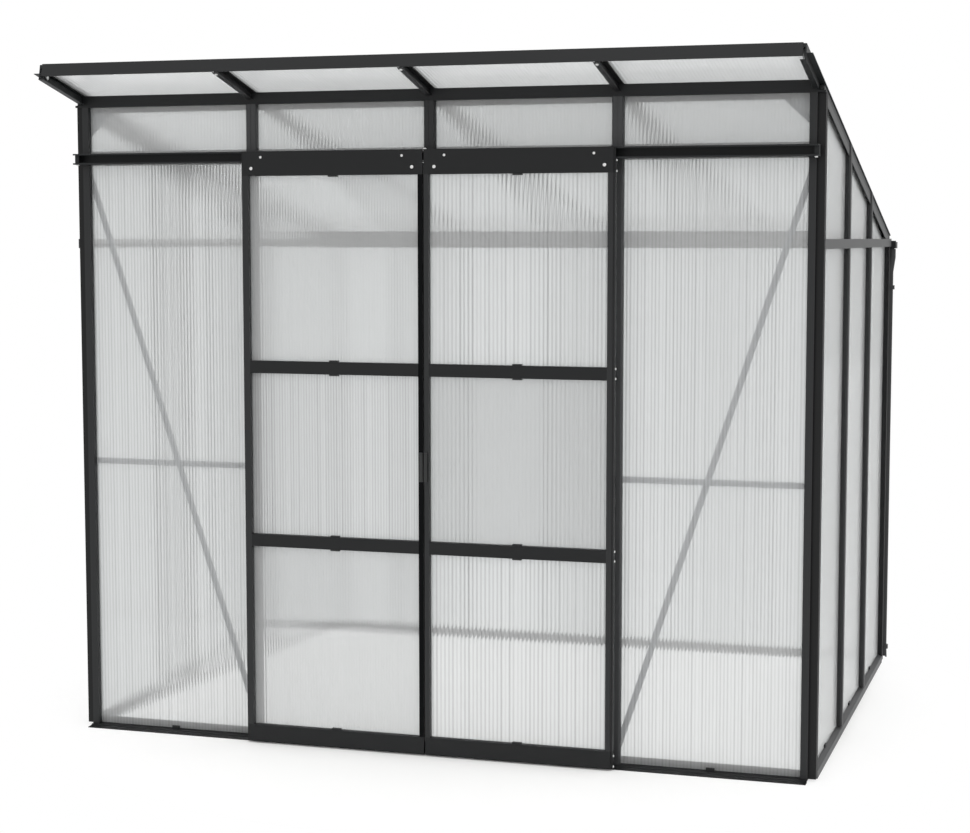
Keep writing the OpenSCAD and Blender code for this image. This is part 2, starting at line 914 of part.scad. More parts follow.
// Outline in y and z under the channel of the sloping rail
module under_head() {
  drop = head_top + web_t + end_gap;
  polygon([
    [-far, -far],
    [-far, roof_z(-far) - drop],
    [far, roof_z(far) - drop],
    [far, -far]
  ]);
}

module side_panes(right) {
  z = base_z + base_t + end_gap;
  sheet() sides(right) for (i = [0:side_bays - 1]) {
    y = side_y(i) + edge_gap;
    yz(half_w - nose_d - pane_t, pane_t) intersection() {
      translate([y, z]) square([pane_w, side_shelf_z - end_gap - z]);
      under_head();
    }
    yz(half_w - nose_d - pane_t, pane_t) intersection() {
      translate([y, side_shelf_z + shelf_t]) square([pane_w, head_z]);
      under_head();
    }
  }
}

module roof_panes() {
  sheet() on_roof() for (i = [0:front_bays - 1])
    translate([front_x(i) + edge_gap, s_front, 0]) cube([pane_w, s_back - s_front, pane_t]);
}

// ---------- bracing ----------

// Flat strip from the top of the corner post to the foot of the jamb, cut off along both
module cross_braces() {
  x0 = bay + stem_t / 2 + end_gap;
  x1 = half_w - seat_back - end_gap;
  z0 = upstand_z + end_gap;
  z1 = track_z - end_gap;
  metal() for (side = [0, 1]) sides(side == 1) xz(seat_back, brace_t) intersection() {
    polygon([
      [bay - brace_w / 2, z0],
      [bay + brace_w / 2, z0],
      [x1 + brace_w / 2, z1],
      [x1 - brace_w / 2, z1]
    ]);
    translate([x0, z0]) square([x1 - x0, z1 - z0]);
  }
}

// Level strip behind it, with its ends stepped forward to the bars
module level_braces() {
  x0 = bay + stem_t / 2;
  x1 = half_w - seat_back;
  pad = bar_w / 2 - stem_t;
  z = mid_brace_z - mid_brace_h / 2;
  metal() for (side = [0, 1]) sides(side == 1) {
    translate([x0, seat_back + brace_t, z]) cube([x1 - x0, brace_t, mid_brace_h]);
    translate([x0, seat_back, z]) cube([pad, 2 * brace_t, mid_brace_h]);
    translate([x1 - pad, seat_back, z]) cube([pad, 2 * brace_t, mid_brace_h]);
  }
}

module gussets() {
  x = half_w - seat_back;
  z = head_z - end_gap;
  metal() for (side = [0, 1]) sides(side == 1) xz(seat_back, gusset_t) polygon([
    [x, z],
    [x - gusset_w, z],
    [x - gusset_w, z - rail_seat],
    [x - gusset_end, z - gusset_h],
    [x, z - gusset_h]
  ]);
}

// ---------- door track ----------

module track_profile() {
  polygon([
    [0, 0],
    [0, track_h],
    [-track_d, track_h],
    [-track_d, track_h - track_lip],
    [-track_d + track_t, track_h - track_lip],
    [-track_d + track_t, track_h - track_t],
    [-track_t, track_h - track_t],
    [-track_t, track_t],
    [-rib_back + rib_w / 2, track_t],
    [-rib_back + rib_w / 2, track_t + rib_h],
    [-rib_back - rib_w / 2, track_t + rib_h],
    [-rib_back - rib_w / 2, track_t],
    [-track_d + track_t, track_t],
    [-track_d + track_t, track_lip],
    [-track_d, track_lip],
    [-track_d, 0]
  ]);
}

// The track with a stop in each end
module door_track() {
  length = 2 * (half_w - track_short);
  sunk = track_t / 2;
  metal() translate([0, 0, track_z]) {
    yz(-length / 2, length) track_profile();
    for (x = [-length / 2, length / 2 - stop_l])
      translate([x, -track_d + stop_in, sunk])
        cube([stop_l, track_d - stop_in - sunk, track_h - 2 * sunk]);
  }
}

// ---------- doors ----------

// The right door is drawn in place, and the left one mirrors it. A step runs up the outer edge.
module leaf(right) {
  metal() sides(right) translate([door_gap / 2, 0, 0]) difference() {
    children();
    translate([door_w - edge_step_w, door_y - past, -past]) cube([far, past + edge_step_d, far]);
  }
}

// Channel that takes a sheet's edge: x is the member's width, and the groove opens at x = w
module groove_profile(w) {
  polygon([
    [0, door_y],
    [w, door_y],
    [w, groove_y],
    [w - groove_d, groove_y],
    [w - groove_d, groove_y + glaze_gap + pane_t],
    [w, groove_y + glaze_gap + pane_t],
    [w, door_back],
    [0, door_back]
  ]);
}

module door_stiles(right) {
  z = door_z + foot_rail_h;
  leaf(right) {
    translate([0, 0, z]) linear_extrude(hood_z - z) groove_profile(meeting_stile_w);
    translate([door_w, 0, z]) linear_extrude(hood_z - z) mirror([1, 0]) groove_profile(outer_stile_w);
  }
}

// Cut for a sheet's edge along a rail, open at its upper or lower side
module rail_groove(x, l, z) {
  translate([x, groove_y, z]) cube([l, glaze_gap + pane_t, groove_d]);
}

module mid_rail(top) {
  x = meeting_stile_w;
  l = door_w - meeting_stile_w - outer_stile_w;
  difference() {
    translate([x, door_y, top - mid_rail_h]) cube([l, door_t, mid_rail_h]);
    rail_groove(x - past, l + 2 * past, top - groove_d);
    translate([x - past, groove_y, top - mid_rail_h - past])
      cube([l + 2 * past, glaze_gap + pane_t, groove_d + past]);
  }
}

// Board over the track, folded back under it to hold the top sheet
module hood() {
  fold = track_z - hood_gap;
  difference() {
    union() {
      translate([0, door_y, hood_z]) cube([door_w, hood_t, hood_h]);
      translate([0, door_y, hood_z]) cube([door_w, door_t, fold - hood_z]);
    }
    translate([-past, groove_y, hood_z - past])
      cube([door_w + 2 * past, glaze_gap + pane_t, groove_d + past]);
  }
}

module foot_rail() {
  difference() {
    translate([0, door_y, door_z]) cube([door_w, door_t, foot_rail_h]);
    translate([-past, groove_y, door_z + foot_rail_h - groove_d])
      cube([door_w + 2 * past, glaze_gap + pane_t, groove_d + past]);
  }
}

module door_rails(right) {
  leaf(right) {
    foot_rail();
    mid_rail(low_rail_top);
    mid_rail(high_rail_top);
    hood();
  }
}

module door_panes(right) {
  side_in = groove_d - groove_play;
  x0 = meeting_stile_w - side_in;
  x1 = door_w - outer_stile_w + side_in;
  lows = [door_z + foot_rail_h, low_rail_top, high_rail_top];
  tops = [low_rail_top - mid_rail_h, high_rail_top - mid_rail_h, hood_z];
  color(pane_colour) at_frame() sides(right) translate([door_gap / 2, 0, 0]) for (i = [0:2])
    translate([x0, door_pane_y, lows[i] - side_in])
      cube([x1 - x0, pane_t, tops[i] - lows[i] + 2 * side_in]);
}

// Grooved wheel that straddles the rib, on an axle from the back of the board
module roller() {
  tread_w = rib_w + 2 * roller_play;
  wheel_w = tread_w + 2 * rim_w;
  rim_r = tread_r + rim_h;
  reach = -rib_back + wheel_w / 2 - (door_y + hood_t);
  translate([0, door_y + hood_t, axle_z]) rotate([-90, 0, 0]) {
    cylinder(r = axle_r, h = reach);
    translate([0, 0, reach - wheel_w]) rotate_extrude() polygon([
      [0, 0],
      [rim_r, 0],
      [rim_r, rim_w],
      [tread_r, rim_w],
      [tread_r, rim_w + tread_w],
      [rim_r, rim_w + tread_w],
      [rim_r, wheel_w],
      [0, wheel_w]
    ]);
  }
}

module door_rollers(right) {
  color(bolt_colour) at_frame() sides(right) translate([door_gap / 2, 0, 0])
    for (x = [roller_in, door_w - roller_in])
      translate([x, 0, 0]) roller();
}

module door_handle(right) {
  metal() sides(right) translate([door_gap / 2, door_y - handle_t, handle_z - handle_h / 2])
    cube([handle_w, handle_t, handle_h]);
}

base_front();
base_back();
base_sides();
post(false, false);  // post_front_left
post(true, false);  // post_front_right
post(false, true);  // post_back_left
post(true, true);  // post_back_right
door_jambs();
transom_bar();
transom_rail();
top_rail();
door_track();
side_bars(false);  // side_bars_left
side_bars(true);  // side_bars_right
back_bars();
eaves_rail();
gutter();
downpipes();
side_head(false);  // side_head_left
side_head(true);  // side_head_right
side_rail(false);  // side_rail_left
side_rail(true);  // side_rail_right
edge_bar(false);  // edge_bar_left
edge_bar(true);  // edge_bar_right
roof_bars();
front_board();
front_panes();
transom_panes();
side_panes(false);  // side_panes_left
side_panes(true);  // side_panes_right
back_panes();
roof_panes();
cross_braces();
level_braces();
gussets();
door_stiles(false);  // door_left_stiles
door_rails(false);  // door_left_rails
door_panes(false);  // door_left_panes
door_rollers(false);  // door_left_rollers
door_handle(false);  // door_left_handle
door_stiles(true);  // door_right_stiles
door_rails(true);  // door_right_rails
door_panes(true);  // door_right_panes
door_rollers(true);  // door_right_rollers
door_handle(true);  // door_right_handle
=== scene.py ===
# Looks of the polycarbonate greenhouse: powder coat, fluted sheets, fixings, studio and light.
import bpy
import bmesh
from math import cos, pi, radians, sin, tan
from mathutils import Matrix, Vector


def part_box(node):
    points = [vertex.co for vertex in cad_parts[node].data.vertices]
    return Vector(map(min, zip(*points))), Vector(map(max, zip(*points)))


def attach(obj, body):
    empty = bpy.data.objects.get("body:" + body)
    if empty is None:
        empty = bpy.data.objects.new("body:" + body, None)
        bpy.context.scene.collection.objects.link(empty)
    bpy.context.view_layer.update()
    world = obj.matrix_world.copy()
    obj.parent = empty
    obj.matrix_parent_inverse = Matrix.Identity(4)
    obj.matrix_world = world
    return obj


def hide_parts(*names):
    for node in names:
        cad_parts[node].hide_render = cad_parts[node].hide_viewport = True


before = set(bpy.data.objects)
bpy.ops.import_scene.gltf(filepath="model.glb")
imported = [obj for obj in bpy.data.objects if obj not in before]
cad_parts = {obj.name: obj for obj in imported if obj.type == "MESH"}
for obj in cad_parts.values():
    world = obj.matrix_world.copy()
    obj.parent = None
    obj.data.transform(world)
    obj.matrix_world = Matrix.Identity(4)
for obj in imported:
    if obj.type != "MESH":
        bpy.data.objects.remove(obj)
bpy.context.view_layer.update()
millimetre = 0.001
weldGap = 0.01 * millimetre    # points that are closer than this are one


def linear(hexColour):
    # sRGB hex to the linear values that shaders take
    channels = [int(hexColour[i:i + 2], 16) / 255 for i in (1, 3, 5)]
    return [c / 12.92 if c <= 0.04045 else ((c + 0.055) / 1.055) ** 2.4 for c in channels] + [1.0]


def scaled(colour, factor):
    return [min(c * factor, 1) for c in colour[:3]] + [1]


def addNode(tree, kind, inputs=None, **settings):
    # one node with its settings; an input that is another node's socket is linked
    node = tree.nodes.new(kind)
    for name, value in settings.items():
        setattr(node, name, value)
    for name, value in (inputs or {}).items():
        if isinstance(value, bpy.types.NodeSocket):
            tree.links.new(value, node.inputs[name])
        else:
            node.inputs[name].default_value = value
    return node


def newMaterial(name):
    material = bpy.data.materials.new(name)
    material.use_nodes = True
    material.node_tree.nodes.clear()
    return material, material.node_tree


def solidBoxes(nodeName):
    # lowest and highest corner of each separate solid of a CAD node
    shape = bmesh.new()
    shape.from_mesh(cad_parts[nodeName].data)
    bmesh.ops.remove_doubles(shape, verts=shape.verts, dist=weldGap)
    boxes, met = [], set()
    for start in shape.verts:
        if start in met:
            continue
        met.add(start)
        island, waiting = [], [start]
        while waiting:
            vert = waiting.pop()
            island.append(vert.co.copy())
            for edge in vert.link_edges:
                other = edge.other_vert(vert)
                if other not in met:
                    met.add(other)
                    waiting.append(other)
        boxes.append((
            Vector([min(p[i] for p in island) for i in range(3)]),
            Vector([max(p[i] for p in island) for i in range(3)]),
        ))
    shape.free()
    return boxes


def geometryTree(name, sockets):
    # Geometry Nodes tree with named inputs and one geometry output
    tree = bpy.data.node_groups.new(name, "GeometryNodeTree")
    tree.interface.new_socket("Geometry", in_out="OUTPUT", socket_type="NodeSocketGeometry")
    for socketName, socketType in sockets.items():
        tree.interface.new_socket(socketName, in_out="INPUT", socket_type="NodeSocket" + socketType)
    return tree, tree.nodes.new("NodeGroupInput").outputs, tree.nodes.new("NodeGroupOutput").inputs


def runTree(tree, name, values, base=None):
    # the tree's result as a plain mesh object, with the modifier gone
    piece = bpy.data.objects.new(name, base or bpy.data.meshes.new(name))
    bpy.context.scene.collection.objects.link(piece)
    modifier = piece.modifiers.new("build", "NODES")
    modifier.node_group = tree
    for item in tree.interface.items_tree:
        if item.in_out == "INPUT" and item.name in values:
            modifier[item.identifier] = values[item.name]
    evaluated = piece.evaluated_get(bpy.context.evaluated_depsgraph_get())
    result = bpy.data.meshes.new_from_object(evaluated)
    piece.modifiers.clear()
    piece.data = result
    result.name = name
    return piece


def joined(pieces, name):
    # several meshes as one object
    shape = bmesh.new()
    materials = []
    for piece in pieces:
        shape.from_mesh(piece.data)
        materials = materials or list(piece.data.materials)
        bpy.data.objects.remove(piece)
    mesh = bpy.data.meshes.new(name)
    shape.to_mesh(mesh)
    shape.free()
    for material in materials:
        mesh.materials.append(material)
    whole = bpy.data.objects.new(name, mesh)
    bpy.context.scene.collection.objects.link(whole)
    return whole


coat = {
    "uprightColour": "#1b1c1d",    # anthracite powder coat on bars and posts; it and the next three are copies of one coat, each painted as light as its pieces look: painted light and shade
    "uprightGloss": 0.38,
    "levelColour": "#151617",      # the same coat on rails, painted darker: painted shade
    "levelGloss": 0.27,
    "recessColour": "#1c1e1f",     # the same coat on the track and roof edge, its colour and gloss painted to how light they look: painted light and shade
    "recessGloss": 0.26,
    "paintedShadeColour": "#060708",     # painted shade on the step and outer face of a corner post and on the left door's meeting stile
    "jambColour": "#2e2f30",       # the same coat painted lighter, to make up for the shade where the jambs stand back from the doors: painted light
    "jambGloss": 0.46,
    "braceColour": "#606366",      # the flat strips are the bare grey of the mill
    "braceGloss": 0.4,
    "roughness": 0.46,
    "shinier": 0.04,               # how far the roughness drifts down and up over the coat
    "duller": 0.05,
    "paler": 1.22,                 # how much the colour drifts with it
    "cloudSize": 454.5,            # mm, size of that drift
    "peelSize": 3.0,               # mm, orange peel; the real 1 mm would not show
    "peelDepth": 0.03,             # mm
    "peelStrength": 0.5,
    "ior": 1.5,
}


def powderCoat(name, part, paintedShades=()):
    # Powder-coated extruded aluminium: an even satin skin with a faint orange peel. Between two
    # distances from the middle of the building, a face gets painted shade: a near-black copy of the
    # coat
    material, tree = newMaterial(name)
    place = addNode(tree, "ShaderNodeTexCoord").outputs["Object"]
    cloud = addNode(tree, "ShaderNodeTexNoise", {
        "Vector": place, "Scale": 1 / (coat["cloudSize"] * millimetre), "Detail": 3.0,
    })
    peel = addNode(tree, "ShaderNodeTexNoise", {
        "Vector": place, "Scale": 1 / (coat["peelSize"] * millimetre), "Detail": 2.0,
    })
    bump = addNode(tree, "ShaderNodeBump", {
        "Height": peel.outputs["Fac"],
        "Strength": coat["peelStrength"],
        "Distance": coat["peelDepth"] * millimetre,
    })
    sheen = addNode(tree, "ShaderNodeMapRange", {
        "Value": cloud.outputs["Fac"],
        "To Min": coat["roughness"] - coat["shinier"],
        "To Max": coat["roughness"] + coat["duller"],
    })

    def skin(colour, gloss):
        base = linear(colour)
        tone = addNode(tree, "ShaderNodeMix", {
            "Factor": cloud.outputs["Fac"], 6: base, 7: scaled(base, coat["paler"]),
        }, data_type="RGBA")
        return addNode(tree, "ShaderNodeBsdfPrincipled", {
            "Base Color": tone.outputs[2],
            "Roughness": sheen.outputs["Result"],
            "Specular IOR Level": gloss,
            "Normal": bump.outputs["Normal"],
            "IOR": coat["ior"],
        }).outputs[0]

    surface = skin(coat[part + "Colour"], coat[part + "Gloss"])
    across = addNode(tree, "ShaderNodeSeparateXYZ", {0: place}).outputs["X"]
    distance = addNode(tree, "ShaderNodeMath", {0: across}, operation="ABSOLUTE").outputs[0]
    # painted shade between two distances from the middle of the building
    for start, end, gloss in paintedShades:
        past = addNode(tree, "ShaderNodeMath", {0: distance, 1: start}, operation="GREATER_THAN")
        short = addNode(tree, "ShaderNodeMath", {0: distance, 1: end}, operation="LESS_THAN")
        within = addNode(tree, "ShaderNodeMath", {
            0: past.outputs[0], 1: short.outputs[0],
        }, operation="MULTIPLY")
        surface = addNode(tree, "ShaderNodeMixShader", {
            0: within.outputs[0], 1: surface, 2: skin(coat["paintedShadeColour"], gloss),
        }).outputs[0]
    addNode(tree, "ShaderNodeOutputMaterial", {"Surface": surface})
    return material


sheetLook = {
    "clearColour": "#fbfcfc",      # what a face lets straight through
    "milkColour": "#f0f1f1",       # what it scatters, a pale cool white
    "haze": 0.29,                  # share of the light that each face of a plain sheet scatters
    "ribShade": 0.22,              # how much darker a rib is where its sheet shows streaks fully
    "ribRun": 18,                  # mm over which the ribs grow fainter and plainer
    "ribFaintest": 0.5,
    "ribPlainest": 1.4,
    "ior": 1.45,                   # a hollow sheet bends light a little less than a solid one
    "roughness": 0.02,
    "milkRoughness": 0.35,
    "milkIor": 1.5,
    "glowShare": 0.5,              # share of the scattered light that comes out at the back
    "lampShare": 0.90,             # share of lamplight that each face lets through
    "skyShare": 0.93,              # share of scattered daylight that each face lets through
}


def twinWall(name):
    # Extruded twin-wall polycarbonate: glossy skins over a row of ribs, milky enough to glow when
    # lit from behind
    material, tree = newMaterial(name)
    rib, streaks, across, tone, extra = [
        addNode(tree, "ShaderNodeAttribute", attribute_name=part).outputs["Fac"]
        for part in ("rib", "streaks", "across", "tone", "milk")
    ]
    run = addNode(tree, "ShaderNodeTexNoise", {
        "W": across, "Scale": 1 / (sheetLook["ribRun"] * millimetre), "Detail": 1.0,
    }, noise_dimensions="1D")
    plainness = addNode(tree, "ShaderNodeMapRange", {
        "Value": run.outputs["Fac"], "From Min": 0.3, "From Max": 0.7,    # most noise lies there
        "To Min": sheetLook["ribFaintest"], "To Max": sheetLook["ribPlainest"],
    })
    ribs = addNode(tree, "ShaderNodeMath", {0: rib, 1: streaks}, operation="MULTIPLY")
    varied = addNode(tree, "ShaderNodeMath", {
        0: ribs.outputs[0], 1: plainness.outputs[0],
    }, operation="MULTIPLY")
    shaded = addNode(tree, "ShaderNodeMath", {
        0: varied.outputs[0], 1: -sheetLook["ribShade"], 2: 1.0,
    }, operation="MULTIPLY_ADD")
    # a sheet's tone is its painted light and shade
    level = addNode(tree, "ShaderNodeMath", {0: shaded.outputs[0], 1: tone}, operation="MULTIPLY")
    tones = [
        addNode(tree, "ShaderNodeVectorMath", {
            0: linear(sheetLook[part])[:3], "Scale": level.outputs[0],
        }, operation="SCALE").outputs[0]
        for part in ("clearColour", "milkColour")
    ]
    clear = addNode(tree, "ShaderNodeBsdfGlass", {
        "Color": tones[0],
        "Roughness": sheetLook["roughness"],
        "IOR": sheetLook["ior"],
    })
    front = addNode(tree, "ShaderNodeBsdfPrincipled", {
        "Base Color": tones[1],
        "Roughness": sheetLook["milkRoughness"],
        "IOR": sheetLook["milkIor"],
    })
    glow = addNode(tree, "ShaderNodeBsdfTranslucent", {"Color": tones[1]})
    milk = addNode(tree, "ShaderNodeMixShader", {
        0: sheetLook["glowShare"], 1: front.outputs[0], 2: glow.outputs[0],
    })
    haze = addNode(tree, "ShaderNodeMath", {0: extra, 1: sheetLook["haze"]}, operation="ADD")
    sheet = addNode(tree, "ShaderNodeMixShader", {
        0: haze.outputs[0], 1: clear.outputs[0], 2: milk.outputs[0],
    })
    path = addNode(tree, "ShaderNodeLightPath")
    # scattered light would be trapped between two smooth faces, so it passes straight on here
    sky, lamps = [
        addNode(tree, "ShaderNodeBsdfTransparent", {"Color": [sheetLook[part]] * 3 + [1]})
        for part in ("skyShare", "lampShare")
    ]
    lit = addNode(tree, "ShaderNodeMixShader", {
        0: path.outputs["Is Diffuse Ray"], 1: sheet.outputs[0], 2: sky.outputs[0],
    })
    out = addNode(tree, "ShaderNodeMixShader", {
        0: path.outputs["Is Shadow Ray"], 1: lit.outputs[0], 2: lamps.outputs[0],
    })
    addNode(tree, "ShaderNodeOutputMaterial", {"Surface": out.outputs[0]})
    return material


zincLook = {
    "colour": "#f3f3f2",
    "duller": 0.85,                # how much darker the clouds are
    "cloudSize": 3.333,            # mm
    "roughness": 0.34,
}


def zincPlated(name):
    # Zinc-plated steel: bright, slightly clouded metal
    material, tree = newMaterial(name)
    place = addNode(tree, "ShaderNodeTexCoord").outputs["Object"]
    cloud = addNode(tree, "ShaderNodeTexNoise", {
        "Vector": place, "Scale": 1 / (zincLook["cloudSize"] * millimetre), "Detail": 2.0,
    })
    base = linear(zincLook["colour"])
    tone = addNode(tree, "ShaderNodeMix", {
        "Factor": cloud.outputs["Fac"], 6: scaled(base, zincLook["duller"]), 7: base,
    }, data_type="RGBA")
    metal = addNode(tree, "ShaderNodeBsdfPrincipled", {
        "Base Color": tone.outputs[2],
        "Metallic": 1.0,
        "Roughness": zincLook["roughness"],
    })
    addNode(tree, "ShaderNodeOutputMaterial", {"Surface": metal.outputs[0]})
    return material


plasticLook = {
    "grainSize": 1.111,            # mm, grain of the mould; the real 0.2 mm would not show
    "grainDepth": 0.1,             # mm
    "grainStrength": 0.3,
    "paler": 1.3,                  # how much paler the grain is
    "ior": 1.5,
    "nylonColour": "#151617",      # sheet clips and nuts
    "nylonRoughness": 0.5,
    "handleColour": "#1a1b1b",
    "handleRoughness": 0.5,
    "rollerColour": "#8c9091",     # grey nylon
    "rollerRoughness": 0.45,
}


def mouldedPlastic(name, part):
    # Moulded nylon or ABS: fine grained, a little glossy
    material, tree = newMaterial(name)
    place = addNode(tree, "ShaderNodeTexCoord").outputs["Object"]
    grain = addNode(tree, "ShaderNodeTexNoise", {
        "Vector": place, "Scale": 1 / (plasticLook["grainSize"] * millimetre), "Detail": 2.0,
    })
    bump = addNode(tree, "ShaderNodeBump", {
        "Height": grain.outputs["Fac"],
        "Strength": plasticLook["grainStrength"],
        "Distance": plasticLook["grainDepth"] * millimetre,
    })
    base = linear(plasticLook[part + "Colour"])
    tone = addNode(tree, "ShaderNodeMix", {
        "Factor": grain.outputs["Fac"], 6: base, 7: scaled(base, plasticLook["paler"]),
    }, data_type="RGBA")
    plastic = addNode(tree, "ShaderNodeBsdfPrincipled", {
        "Base Color": tone.outputs[2],
        "Roughness": plasticLook[part + "Roughness"],
        "Normal": bump.outputs["Normal"],
        "IOR": plasticLook["ior"],
    })
    addNode(tree, "ShaderNodeOutputMaterial", {"Surface": plastic.outputs[0]})
    return material


paintedShadeBands = {
    # mm: where corner posts and the left door's meeting stile get painted shade, and how glossy the
    # coat still is there
    "postIn": 24.5, "postGloss": 0.34,       # the step of a corner post, in from its outer face
    "faceIn": 0.2, "faceGloss": 0.08,        # that outer face itself
    "stileReach": 100, "stileGloss": 0.06,   # the left door's meeting stile, out from the middle
}
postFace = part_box("post_front_right")[1].x
postStep = postFace - paintedShadeBands["postIn"] * millimetre
postEdge = postFace - paintedShadeBands["faceIn"] * millimetre
stileEnd = paintedShadeBands["stileReach"] * millimetre

# lit and shaded copies of one coat (painted light and shade); the post and left stile coats also
# carry painted shade by position
uprightCoat = powderCoat("powder coated aluminium upright", "upright")
levelCoat = powderCoat("powder coated aluminium level", "level")
recessCoat = powderCoat("powder coated aluminium recess", "recess")
jambCoat = powderCoat("powder coated aluminium jamb", "jamb")
braceCoat = powderCoat("mill finish aluminium strip", "brace")
# painted shade on the step and outer face of each corner post
postCoat = powderCoat("powder coated aluminium corner post", "upright", (
    (postStep, postEdge, paintedShadeBands["postGloss"]),
    (postEdge, 2 * postFace, paintedShadeBands["faceGloss"]),
))
# painted shade on the left door's meeting stile
leftStileCoat = powderCoat("powder coated aluminium left door stile", "upright", (
    (0.0, stileEnd, paintedShadeBands["stileGloss"]),
))
wallSheet = twinWall("twin wall polycarbonate")
zinc = zincPlated("zinc plated steel")
blackNylon = mouldedPlastic("black nylon", "nylon")
blackHandle = mouldedPlastic("black handle plastic", "handle")
greyNylon = mouldedPlastic("grey nylon", "roller")

finishes = (
    # every other piece of the frame and doors has the coat of an upright
    (levelCoat, ("base_front", "transom_rail", "top_rail", "eaves_rail", "gutter",
                 "door_left_rails", "door_right_rails")),
    (recessCoat, ("door_track", "edge_bar_left", "edge_bar_right")),
    (jambCoat, ("door_jambs", "base_sides", "side_head_left", "side_head_right",
                "side_rail_left", "side_rail_right")),
    (braceCoat, ("cross_braces", "level_braces", "gussets")),
    (postCoat, ("post_front_left", "post_front_right", "post_back_left", "post_back_right")),
    (leftStileCoat, ("door_left_stiles",)),
    (greyNylon, ("door_left_rollers", "door_right_rollers")),
    (blackHandle, ("door_left_handle", "door_right_handle")),
)
finishOf = {nodeName: material for material, nodeNames in finishes for nodeName in nodeNames}
for nodeName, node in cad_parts.items():
    for slotIndex in range(len(node.material_slots)):
        node.material_slots[slotIndex].material = finishOf.get(nodeName, uprightCoat)
print("materials done")


flutes = {
    "pitch": 11.6,       # mm between ribs
    "doorPitch": 13.7,   # mm, the coarser sheets of the right door
    "finePitch": 9.6,    # mm, the finer sheets of the left door
    "depth": 0.4,        # mm that each skin bows between two ribs
    "wallDepth": 0.5,    # mm, the same on the fixed sheets of the front wall
    "steps": 8,          # faces across one flute
    "rimAngle": 40,      # degrees, an edge that turns more stays sharp
    "shift": 1.37,       # m, so that no two sheets of a wall have the same ribs
    "thinnest": 20,      # mm, a sheet thinner than this along x stands along y
}


